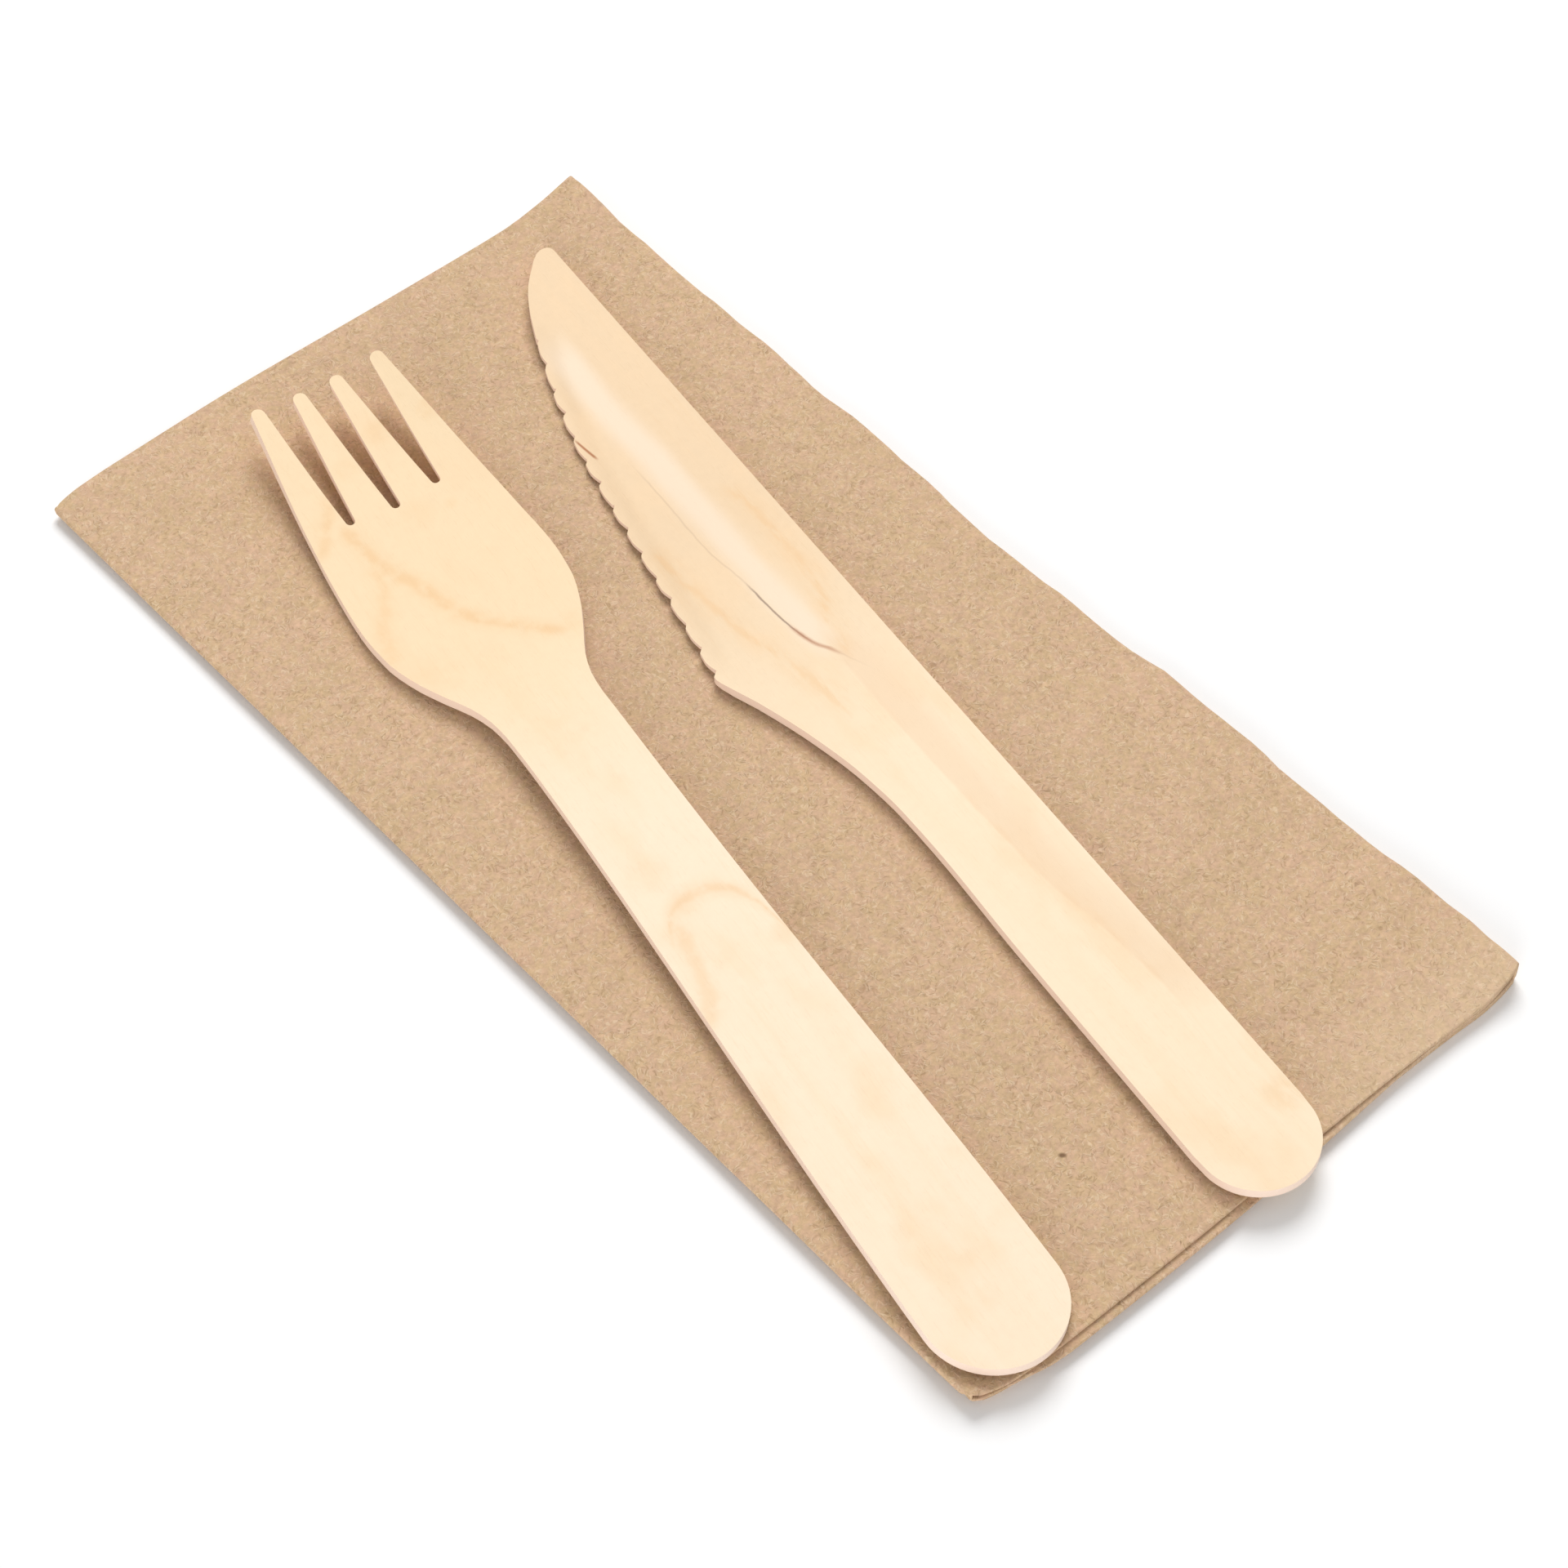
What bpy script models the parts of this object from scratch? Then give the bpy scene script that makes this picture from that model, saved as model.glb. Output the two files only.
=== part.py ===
"""Wooden cutlery pack: a birch-veneer fork and knife lying on a folded kraft napkin.

The napkin's underside is on z = 0 and its middle is the origin. +Y runs along its
long side, from the closed short end under the handles to the open short end.
Lengths are in millimetres until a mesh is written, which is in metres.
"""

from math import cos, pi, radians, sin

import bpy

MM = 0.001

# The napkin: one square sheet, folded in half three times.
SHEET_ACROSS = 326.0   # the open sheet, across the packet's short side
SHEET_DOWN = 330.0     # and along its long side
PLY = 0.16             # thickness of the sheet
LAYER_GAP = 0.09       # air between two layers
FOLD_STEPS = 8         # facets round each fold
FOLD_SKEW = radians(0.15)   # how far the last fold is off square
FREE_EDGE_INSET = 2.2  # how far the lower group's free edges lie inside the folded edge

# Both wooden pieces are stamped from the same veneer.
VENEER = 1.4
EASED_EDGE = 0.15
REST_GAP = 0.3         # clearance left where a piece lies on the napkin

# The fork, measured along its own axis from the handle's end.
FORK_END = (-33.5, -82.7)
FORK_TURN = radians(9.3)
FORK_LENGTH = 157.4
FORK_END_RADIUS = 8.2
FORK_HALF_WIDTH = [(8.2, 8.2), (14, 8.15), (92, 6.3), (98, 6.35), (101, 6.65), (104, 7.5),
                   (108, 9.5), (112, 11.35), (116, 12.5), (121, 12.9), (130, 12.35),
                   (138, 11.55), (146, 10.65), (156.5, 9.35)]
FORK_RISE = [(0, 0.2), (50, 0.6), (92, 1.3), (112, 0.1), (126, 0.0), (140, 0.9), (157.4, 3.2)]
FORK_SCOOP = [(95, 0), (112, 0.7), (136, 0.7), (157.4, 2.4)]
FORK_TWIST = [(0, -0.5), (95, 0.3), (125, 0.8), (157.4, 1.0)]
SCOOP_REACH = 14.0     # half-width at which scoop and twist are stated
SLOT_RADIUS = 0.6
SLOT_MIDDLES = (-5.9, 0.0, 5.9)
SLOT_ROOTS = (137.0, 136.4, 137.0)
TINE_TIP_RADIUS = 0.9
TINE_TIP_MIDDLES = (-8.45, -2.6, 2.6, 8.45)

# The knife, measured along its straight back from the handle's end.
KNIFE_END = (8.9, -86.4)
KNIFE_TURN = radians(7.7)
KNIFE_END_RADIUS = 7.1
KNIFE_HANDLE_WIDTH = 14.4
KNIFE_UNDERSIDE = [(7.1, -14.4), (40, -14.25), (56, -13.9), (63, -14.05), (70, -14.8),
                   (78, -16.6), (85, -18.85), (91.1, -21.1)]
KNIFE_BELLY = [(91.1, -21.1), (99, -19.7), (109, -18.4), (122, -16.7), (131, -15.3),
               (139, -13.4), (147, -10.9), (154, -8.3), (158, -6.15), (161.6, -3.2)]
KNIFE_TIP = [(162.3, -2.4, -0.1), (162.8, -1.7, -0.5)]
TEETH = 14
TOOTH_PITCH = 4.1
TOOTH_DEPTH = 0.45
FIRST_TOOTH = 92.2
GROOVE_MIDDLE = (113.0, -9.6)
GROOVE_REACH = (40.0, 5.0)
GROOVE_DEPTH = 0.4


def clear_scene():
    for item in list(bpy.data.objects):
        bpy.data.objects.remove(item)


def glide(stations, place):
    """The value at a place of a smooth curve through (place, value) stations, with no overshoot."""
    places = [station[0] for station in stations]
    values = [station[1] for station in stations]
    place = min(max(place, places[0]), places[-1])
    runs = [b - a for a, b in zip(places, places[1:])]
    slopes = [(b - a) / run for a, b, run in zip(values, values[1:], runs)]
    tangents = [slopes[0]]
    for before, after in zip(slopes, slopes[1:]):
        same_way = before * after > 0
        tangents.append(2 * before * after / (before + after) if same_way else 0.0)
    tangents.append(slopes[-1])
    k = max(i for i in range(len(runs)) if places[i] <= place)
    t = (place - places[k]) / runs[k]
    start, end = values[k], values[k + 1]
    return ((1 + 2 * t) * (1 - t) ** 2 * start + t * (1 - t) ** 2 * runs[k] * tangents[k]
            + t * t * (3 - 2 * t) * end - t * t * (1 - t) * runs[k] * tangents[k + 1])


def spread(start, end, steps):
    """Evenly spaced values from start to end, both included."""
    return [start + (end - start) * i / steps for i in range(steps + 1)]


def material(name, colour, roughness):
    finish = bpy.data.materials.new(name)
    finish.use_nodes = True
    shader = finish.node_tree.nodes["Principled BSDF"]
    shader.inputs["Base Color"].default_value = (*colour, 1.0)
    shader.inputs["Roughness"].default_value = roughness
    shader.inputs["Metallic"].default_value = 0.0
    return finish


def add_mesh(name, points, faces, finish):
    """A new object from points in millimetres. Points that coincide are made one."""
    index, kept, merged = {}, [], []
    for point in points:
        key = tuple(round(value, 5) for value in point)
        if key not in index:
            index[key] = len(kept)
            kept.append([value * MM for value in point])
        merged.append(index[key])
    clean = []
    for face in faces:
        loop = [merged[i] for i in face]
        loop = [v for i, v in enumerate(loop) if v != loop[i - 1]]
        if len(loop) > 2:
            clean.append(loop)
    mesh = bpy.data.meshes.new(name)
    mesh.from_pydata(kept, [], clean)
    mesh.materials.append(finish)
    piece = bpy.data.objects.new(name, mesh)
    bpy.context.scene.collection.objects.link(piece)
    return piece


# The napkin ------------------------------------------------------------------

def fold_over(along, height, fold_at, stack):
    """Bends a stack up and back over itself, about a line at fold_at.

    along is the distance on the stack, height the height in it. The middle of the
    stack keeps its length round the bend.
    """
    centre = stack + LAYER_GAP / 2
    middle_radius = centre - stack / 2
    radius = centre - height
    past = along - fold_at
    if past <= 0:
        return along, height
    turn = min(past / middle_radius, pi)
    straight = past - turn * middle_radius
    return fold_at + radius * sin(turn) - straight, centre - radius * cos(turn)


def bend_length(stack):
    return pi * (stack + LAYER_GAP) / 2


def folded_stack(stack):
    return 2 * stack + LAYER_GAP


STACK_ONE = PLY
STACK_TWO = folded_stack(STACK_ONE)
STACK_FOUR = folded_stack(STACK_TWO)
NAPKIN_HEIGHT = folded_stack(STACK_FOUR)

END_FOLD = (SHEET_DOWN - bend_length(STACK_ONE)) / 2
SIDE_FOLD = (SHEET_ACROSS - bend_length(STACK_TWO)) / 2
LONG_RUN = SIDE_FOLD + STACK_TWO + LAYER_GAP / 2 - bend_length(STACK_FOUR)
LAST_FOLD = (LONG_RUN - FREE_EDGE_INSET) / 2
NAPKIN_LENGTH = END_FOLD + STACK_ONE + LAYER_GAP / 2
LAST_FOLD_REACH = STACK_FOUR + LAYER_GAP / 2
NAPKIN_WIDTH = LAST_FOLD + FREE_EDGE_INSET + LAST_FOLD_REACH
SKEW_DRIFT = NAPKIN_WIDTH * sin(2 * FOLD_SKEW)   # how far the upper half's outer end slips along


def last_fold_at(down):
    """Where the last fold crosses the stack, which it does slightly off square."""
    return LAST_FOLD + (down - NAPKIN_LENGTH / 2) * sin(FOLD_SKEW)


def place_sheet_point(across, down, height):
    """Where a point of the open sheet is once the sheet is folded three times."""
    down, height = fold_over(down, height, END_FOLD, STACK_ONE)
    across, height = fold_over(across, height, SIDE_FOLD, STACK_TWO)
    back_over = down - NAPKIN_LENGTH / 2
    square_across = across * cos(FOLD_SKEW) - back_over * sin(FOLD_SKEW)
    square_down = across * sin(FOLD_SKEW) + back_over * cos(FOLD_SKEW)
    square_across, height = fold_over(square_across, height, LAST_FOLD * cos(FOLD_SKEW), STACK_FOUR)
    across = square_across * cos(FOLD_SKEW) + square_down * sin(FOLD_SKEW)
    back_over = square_down * cos(FOLD_SKEW) - square_across * sin(FOLD_SKEW)
    middle = LAST_FOLD + LAST_FOLD_REACH - NAPKIN_WIDTH / 2
    return across - middle, SKEW_DRIFT / 2 - back_over, height


def sheet_lines(down):
    """Places across the open sheet that need a line of points, at one distance down it."""
    folded_down = fold_over(down, PLY / 2, END_FOLD, STACK_ONE)[0]
    first = last_fold_at(folded_down)
    last_bend = spread(first, first + bend_length(STACK_FOUR), FOLD_STEPS)
    side_bend = spread(SIDE_FOLD, SIDE_FOLD + bend_length(STACK_TWO), FOLD_STEPS)
    mirrored = [2 * SIDE_FOLD + bend_length(STACK_TWO) - value for value in reversed(last_bend)]
    return [0.0] + last_bend + side_bend + mirrored + [SHEET_ACROSS]


def make_napkin(finish):
    downs = [0.0] + spread(END_FOLD, END_FOLD + bend_length(STACK_ONE), FOLD_STEPS) + [SHEET_DOWN]
    rows = [sheet_lines(down) for down in downs]
    wide, long = len(rows[0]), len(rows)
    points = [place_sheet_point(across, down, height) for height in (0.0, PLY)
              for row, down in zip(rows, downs) for across in row]

    def corner(side, row, column):
        return (side * long + row) * wide + column

    faces = []
    for row in range(long - 1):
        for column in range(wide - 1):
            under = [corner(0, row + a, column + b) for a, b in ((0, 0), (0, 1), (1, 1), (1, 0))]
            faces.append(under)
            faces.append([index + long * wide for index in reversed(under)])
    rim = [(0, column) for column in range(wide)]
    rim += [(row, wide - 1) for row in range(1, long)]
    rim += [(long - 1, column) for column in range(wide - 2, -1, -1)]
    rim += [(row, 0) for row in range(long - 2, 0, -1)]
    for here, there in zip(rim, rim[1:] + rim[:1]):
        faces.append([corner(0, *there), corner(0, *here), corner(1, *here), corner(1, *there)])
    return add_mesh("napkin", points, faces, finish)


# The wooden pieces -------------------------------------------------------------

def grid_faces(rows, first=0):
    """Faces between rows that hold the same number of points, numbered from first."""
    wide = len(rows[0])
    faces = []
    for row in range(len(rows) - 1):
        for column in range(wide - 1):
            corner = first + row * wide + column
            faces.append([corner, corner + 1, corner + wide + 1, corner + wide])
    return faces


def stamp(name, grids, height, end, turn, finish):
    """A veneer piece from grids of (along, across) points, bent to a height and laid on the napkin."""
    outline, faces = [], []
    for rows in grids:
        faces += grid_faces(rows, len(outline))
        outline += [point for row in rows for point in row]
    lowest = min(height(*point) for point in outline)
    points = []
    for along, across in outline:
        x = end[0] + along * sin(turn) + across * cos(turn)
        y = end[1] + along * cos(turn) - across * sin(turn)
        points.append((x, y, NAPKIN_HEIGHT + REST_GAP + height(along, across) - lowest))
    piece = add_mesh(name, points, faces, finish)
    thicken = piece.modifiers.new("veneer", "SOLIDIFY")
    thicken.thickness = VENEER * MM
    thicken.offset = 1.0
    ease = piece.modifiers.new("eased_edges", "BEVEL")
    ease.width = EASED_EDGE * MM
    ease.segments = 1
    ease.limit_method = "ANGLE"
    ease.angle_limit = radians(70)
    return piece


def round_end(radius, steps):
    """(along, half-width) pairs round a semicircular handle end."""
    turns = spread(0.0, pi / 2, steps)
    return [(radius * (1 - cos(turn)), radius * sin(turn)) for turn in turns]


def fork_height(along, across):
    sideways = across / SCOOP_REACH
    return (glide(FORK_RISE, along) + glide(FORK_SCOOP, along) * sideways ** 2
            + glide(FORK_TWIST, along) * sideways)


def tine_edges(tine, along):
    """The two sides of a tine at a distance along the fork."""
    outer = glide(FORK_HALF_WIDTH, along)
    sides = []
    for slot, way in ((tine - 1, 1), (tine, -1)):
        if slot in (-1, len(SLOT_MIDDLES)):
            sides.append(-way * outer)
            continue
        root = SLOT_ROOTS[slot] + SLOT_RADIUS
        share = (along - root) / (FORK_LENGTH - TINE_TIP_RADIUS - root)
        at_root = SLOT_MIDDLES[slot] + way * SLOT_RADIUS
        at_tip = TINE_TIP_MIDDLES[tine] - way * TINE_TIP_RADIUS
        sides.append(at_root + (at_tip - at_root) * share)
    return sides


def fork_grids():
    """The fork's handle and head as one grid, and a grid for each tine."""
    across, root_row = [], []
    for tine in range(len(TINE_TIP_MIDDLES)):
        slot = min(tine, len(SLOT_MIDDLES) - 1)
        root = SLOT_ROOTS[slot] + SLOT_RADIUS
        left, right = tine_edges(tine, root)
        left_root = SLOT_ROOTS[max(tine - 1, 0)] + SLOT_RADIUS
        for value, along in ((left, left_root), ((left + right) / 2, (left_root + root) / 2), (right, root)):
            across.append(value)
            root_row.append((along, value))
        if tine < len(SLOT_MIDDLES):
            for turn in spread(0, pi, 4)[1:-1]:
                value = SLOT_MIDDLES[slot] - SLOT_RADIUS * cos(turn)
                across.append(value)
                root_row.append((root - SLOT_RADIUS * sin(turn), value))
    half = across[-1]
    stations = round_end(FORK_END_RADIUS, 5)
    stations += [(along, glide(FORK_HALF_WIDTH, along))
                 for along in (20, 35, 50, 65, 80, 92, 98, 101, 104, 107, 110, 113, 117, 121, 125, 129, 133)]
    body = [[(along, width * value / half) for value in across] for along, width in stations]
    body.append(root_row)
    grids = [body]
    for tine, middle in enumerate(TINE_TIP_MIDDLES):
        first = 5 * tine
        rows = [root_row[first:first + 3]]
        shoulder = FORK_LENGTH - TINE_TIP_RADIUS
        for along in spread(SLOT_ROOTS[0] + SLOT_RADIUS, shoulder, 7)[1:]:
            left, right = tine_edges(tine, along)
            rows.append([(along, left), (along, (left + right) / 2), (along, right)])
        for turn in (radians(35), radians(65), radians(90)):
            reach = TINE_TIP_RADIUS * cos(turn)
            along = shoulder + TINE_TIP_RADIUS * sin(turn)
            rows.append([(along, middle - reach), (along, middle), (along, middle + reach)])
        grids.append(rows)
    return grids


def knife_height(along, across):
    """A shallow groove pressed along the blade, with a matching ridge below."""
    reach_along = (along - GROOVE_MIDDLE[0]) / GROOVE_REACH[0]
    reach_across = (across - GROOVE_MIDDLE[1]) / GROOVE_REACH[1]
    inside = max(0.0, 1 - reach_along ** 2) ** 2 * max(0.0, 1 - reach_across ** 2) ** 2
    return -GROOVE_DEPTH * inside


def knife_edge(along):
    """The cutting side's outline: the handle and choil, then the belly with its teeth."""
    if along < KNIFE_BELLY[0][0]:
        return glide(KNIFE_UNDERSIDE, along)
    belly = glide(KNIFE_BELLY, along)
    phase = (along - FIRST_TOOTH) / TOOTH_PITCH
    if not 0 <= phase <= TEETH:
        return belly
    phase = phase % 1.0
    bite = max(0.0, 1 - phase / 0.4) ** 1.5 + max(0.0, (phase - 0.82) / 0.18)
    return belly + TOOTH_DEPTH * min(bite, 1.0)


def knife_grid():
    middle = -KNIFE_HANDLE_WIDTH / 2
    rows = [(along, middle - half, middle + half) for along, half in round_end(KNIFE_END_RADIUS, 5)]
    places = spread(18, 62, 4) + spread(66, 90, 6) + [KNIFE_BELLY[0][0]]
    for tooth in range(TEETH):
        places += [FIRST_TOOTH + TOOTH_PITCH * (tooth + phase) for phase in (0.0, 0.22, 0.42, 0.82)]
    places += [FIRST_TOOTH + TOOTH_PITCH * TEETH, 151.5, 154, 156, 158, 160, 161.6]
    rows += [(along, knife_edge(along), 0.0) for along in places]
    rows += [(along, low, high) for along, low, high in KNIFE_TIP]
    return [[(along, low + (high - low) * share) for share in spread(0.0, 1.0, 8)] for along, low, high in rows]


def main():
    clear_scene()
    birch = material("birch_veneer", (0.93, 0.78, 0.58), 0.6)
    birch_streaked = material("birch_veneer_streaked", (0.90, 0.72, 0.50), 0.6)
    kraft = material("kraft_paper", (0.58, 0.42, 0.26), 0.9)
    make_napkin(kraft)
    stamp("fork", fork_grids(), fork_height, FORK_END, FORK_TURN, birch)
    stamp("knife", [knife_grid()], knife_height, KNIFE_END, KNIFE_TURN, birch_streaked)


main()
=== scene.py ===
# %% [markdown]
# # A wooden cutlery pack: fork and knife on a folded kraft napkin
#
# Two pieces of pale birch veneer lie on a brown paper napkin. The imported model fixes
# where the three pieces are and how big they are. This lesson gives each of them its
# finished surface: paper that is folded and a little tired, and wood with soft edges.
#
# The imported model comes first, because every size below is worked out from it.

from math import cos, pi, radians, sin

import bpy
import numpy as np
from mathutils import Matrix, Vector


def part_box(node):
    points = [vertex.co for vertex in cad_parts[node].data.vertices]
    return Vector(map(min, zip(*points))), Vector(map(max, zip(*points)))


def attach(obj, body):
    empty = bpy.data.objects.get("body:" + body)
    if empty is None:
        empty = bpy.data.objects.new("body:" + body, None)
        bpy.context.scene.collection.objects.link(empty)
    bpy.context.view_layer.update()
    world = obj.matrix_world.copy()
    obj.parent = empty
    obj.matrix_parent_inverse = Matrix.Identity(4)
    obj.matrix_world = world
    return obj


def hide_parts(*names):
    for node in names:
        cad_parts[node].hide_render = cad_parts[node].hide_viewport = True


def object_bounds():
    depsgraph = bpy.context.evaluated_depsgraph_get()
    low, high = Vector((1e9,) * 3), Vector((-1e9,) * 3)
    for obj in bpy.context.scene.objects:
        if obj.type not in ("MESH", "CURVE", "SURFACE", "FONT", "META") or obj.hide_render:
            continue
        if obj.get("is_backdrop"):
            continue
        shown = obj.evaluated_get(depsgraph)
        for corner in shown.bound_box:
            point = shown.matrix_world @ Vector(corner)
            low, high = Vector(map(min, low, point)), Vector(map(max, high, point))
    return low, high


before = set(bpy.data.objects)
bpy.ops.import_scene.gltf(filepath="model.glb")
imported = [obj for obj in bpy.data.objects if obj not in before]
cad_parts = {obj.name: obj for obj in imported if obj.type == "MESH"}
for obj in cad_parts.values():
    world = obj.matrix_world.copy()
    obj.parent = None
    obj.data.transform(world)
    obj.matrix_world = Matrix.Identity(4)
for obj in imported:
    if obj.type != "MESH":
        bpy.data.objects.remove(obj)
cad_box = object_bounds()
MM = 0.001
napkin_low, napkin_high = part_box("napkin")
print("napkin", [round(v / MM, 2) for v in napkin_high - napkin_low], "mm")

# %% [markdown]
# ## Curves through a few stations
#
# Every outline here, the fork's swelling head or the knife's belly, is known at a few
# places along the piece. A cubic through those stations could overshoot and make bumps
# that no die ever cut. A monotone cubic doesn't: its slope is the harmonic mean of the
# slopes on either side, and it goes flat where the outline turns round.

# %% A smooth curve with no overshoot
def glide(stations, place):
    """Values at places (a number or an array) of a curve through (place, value) stations."""
    at = np.array([station[0] for station in stations], float)
    value = np.array([station[1] for station in stations], float)
    run = np.diff(at)
    slope = np.diff(value) / run
    before, after = slope[:-1], slope[1:]
    same_way = before * after > 0
    total = np.where(same_way, before + after, 1.0)
    inner = np.where(same_way, 2 * before * after / total, 0.0)
    tangent = np.concatenate([slope[:1], inner, slope[-1:]])
    place = np.clip(place, at[0], at[-1])
    k = np.clip(np.searchsorted(at, place, side="right") - 1, 0, len(run) - 1)
    t = (place - at[k]) / run[k]
    return ((1 + 2 * t) * (1 - t) ** 2 * value[k] + t * (1 - t) ** 2 * run[k] * tangent[k]
            + t * t * (3 - 2 * t) * value[k + 1] - t * t * (1 - t) * run[k] * tangent[k + 1])


def rise(start, end, place):
    """0 before start, 1 after end, and smooth between them. It works backwards too."""
    t = np.clip((place - start) / (end - start), 0, 1)
    return t * t * (3 - 2 * t)


def spread(start, end, step):
    """Evenly spaced places from start to end, no further apart than step."""
    return np.linspace(start, end, max(2, int(np.ceil(abs(end - start) / step)) + 1))


# %% [markdown]
# ## The napkin is one sheet
#
# A takeaway napkin is about 330 mm square, of thin kraft paper folded in half three times.
# Eight layers lie on each other, and every edge of the packet tells which fold made it:
# the short near edge is the first fold, the long left edge of the upper half is the
# second, and the long right edge is the last one, which has to bend four layers and so
# stays fat and soft.
#
# A stack of eight separate slabs would show gaps where the paper should run round. Here
# the open sheet is a grid of points, and each fold is a map that bends a stack back over
# itself round a half circle. Three such maps one after another fold the whole grid, and
# because no map ever puts two points in one place, the layers can't cut each other.

# %% The fold map
PLY = 0.165
LAYER_GAP = 0.085


def fold_over(along, height, fold_at, stack):
    """Bends a stack of that height back over itself, about a line at fold_at."""
    centre = stack + LAYER_GAP / 2
    middle_radius = centre - stack / 2
    past = along - fold_at
    turn = np.clip(past / middle_radius, 0, pi)
    straight = past - turn * middle_radius
    radius = centre - height
    bent_along = fold_at + radius * np.sin(turn) - straight
    bent_height = centre - radius * np.cos(turn)
    return np.where(past <= 0, along, bent_along), np.where(past <= 0, height, bent_height)


def bend_length(stack):
    return pi * (stack + LAYER_GAP) / 2


def folded_stack(stack):
    return 2 * stack + LAYER_GAP


# %% [markdown]
# ## Where the three folds go
#
# The first two folds halve the sheet exactly. The last is set so that the lower half's
# free edges stop a little inside the upper half's folded edge. It is also a small part
# of a degree off square, as a fold made by hand is, and that leaves a little step
# between the upper and the lower half at the far left corner.

# %% Fold lines and stack heights
SHEET_ACROSS = 326.0
SHEET_DOWN = 330.0
FOLD_SKEW = radians(0.15)
FREE_EDGE_INSET = 2.2

stack_one = PLY
stack_two = folded_stack(stack_one)
stack_four = folded_stack(stack_two)
napkin_top = folded_stack(stack_four)

end_fold = (SHEET_DOWN - bend_length(stack_one)) / 2
side_fold = (SHEET_ACROSS - bend_length(stack_two)) / 2
long_run = side_fold + stack_two + LAYER_GAP / 2 - bend_length(stack_four)
last_fold = (long_run - FREE_EDGE_INSET) / 2
last_reach = stack_four + LAYER_GAP / 2
napkin_length = end_fold + stack_one + LAYER_GAP / 2
half_width = (last_fold + FREE_EDGE_INSET + last_reach) / 2
half_length = napkin_length / 2
skew_drift = 2 * half_width * sin(2 * FOLD_SKEW)
print(f"folded packet {2 * half_width:.1f} x {napkin_length:.1f} x {napkin_top:.2f} mm")

# %% [markdown]
# ## A grid that knows the folds
#
# A half circle needs several lines of points across it, and a flat needs few. So the
# grid's lines crowd together in the bends and stand about two millimetres apart between
# them. The last fold crosses four layers at once, which means its lines appear twice
# across the open sheet, the second set mirrored in the second fold. It is also off
# square, so each row of the grid places its own lines.

# %% Grid lines of the open sheet
FLAT_STEP = 2.4
NEAR_STEP = 0.7
NEAR_BAND = 9.0
BEND_STEPS = 10


def bend_lines(start, length):
    return np.linspace(start, start + length, BEND_STEPS + 1)


def flat_lines(start, end, step=FLAT_STEP):
    """Places strictly between start and end."""
    return spread(start, end, step)[1:-1]


def edged_lines(start, end):
    """Places strictly between start and end, close together near both ends."""
    band = np.concatenate([[start], flat_lines(start, start + NEAR_BAND, NEAR_STEP), [start + NEAR_BAND]])
    mirrored = start + end - band[::-1]
    middle = flat_lines(start + NEAR_BAND, end - NEAR_BAND)
    return np.concatenate([band, middle, mirrored])[1:-1]


def lines_across(shift):
    """Places across the open sheet, where the last fold is moved by shift."""
    last = bend_lines(last_fold + shift, bend_length(stack_four))
    side = bend_lines(side_fold, bend_length(stack_two))
    mirrored = side[0] + side[-1] - last[::-1]
    return np.concatenate([
        [0.0], edged_lines(0.0, last_fold) * last[0] / last_fold, last,
        edged_lines(last[-1], side[0]), side, edged_lines(side[-1], mirrored[0]), mirrored,
        edged_lines(mirrored[-1], SHEET_ACROSS), [SHEET_ACROSS]])


def lines_down():
    bend = bend_lines(end_fold, bend_length(stack_one))
    beyond = edged_lines(bend[-1], SHEET_DOWN)
    return np.concatenate([[0.0], edged_lines(0.0, bend[0]), bend, beyond, [SHEET_DOWN]])


downs = lines_down()
folded_down = fold_over(downs, PLY / 2, end_fold, stack_one)[0]
last_shifts = (folded_down - half_length) * sin(FOLD_SKEW)
counts = {len(lines_across(shift)) for shift in last_shifts}
print("rows", len(downs), "columns", counts)

# %% [markdown]
# ## How used paper differs from folded geometry
#
# Three folds give a perfect packet, and paper isn't. The last fold swells into a soft
# tube because four layers won't crease sharply, its edge wanders by a millimetre, the
# corners are blunted, and the faces rise and dip a little. All of that is a smooth
# displacement of the folded packet. It moves points by amounts that change slowly, so
# the layers still can't cut each other.
#
# The swelling is the one that shows most. It parts the lower and the upper half close to
# the fold, more at the near corner, where it opens a small dark tunnel. A weaker one does
# the same to the top pair of layers on the left. The bend of the last fold also carries
# short, shallow creases across it, as stacked paper does where it is pressed round.
#
# The corners are rounded by pulling a small square at each of them into a quarter disc,
# which bends the grid's rows there and leaves its faces whole.

# %% Softening the packet
RIGHT_EDGE_WANDER = [(-83, -0.7), (-78, -0.4), (-74, 0.05), (-54, -0.15), (-34, 0.15), (-28, 0.25),
                     (-22, -0.2), (-14, -0.7), (-6, -0.9), (2, -1.2), (10, -0.6), (26, 0.0),
                     (38, -0.1), (46, 0.3), (54, 0.0), (70, 0.5), (82, 0.8)]
FAR_EDGE_WANDER = [(-42, -0.9), (-38, -0.4), (-32, 0.0), (-14, 0.3), (10, 0.0), (28, 0.1), (35, 0.5),
                   (41, 1.3)]
NEAR_EDGE_WANDER = [(-42, 2.2), (-39.5, 1.2), (-36, 0.45), (-30, 0.1), (-8, -0.1), (13, 0.1), (30, -0.1),
                    (35, -0.3), (39, 0.0), (42, 0.6)]
FOLD_SWELL = [(-84, 1.9), (-80, 1.25), (-74, 0.7), (-60, 0.42), (-30, 0.3), (0, 0.45), (30, 0.3),
              (60, 0.35), (84, 0.15)]
SIDE_SWELL = [(-84, 0.95), (-80, 0.45), (-76, 0.22), (-60, 0.08), (0, 0.05), (84, 0.05)]


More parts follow.
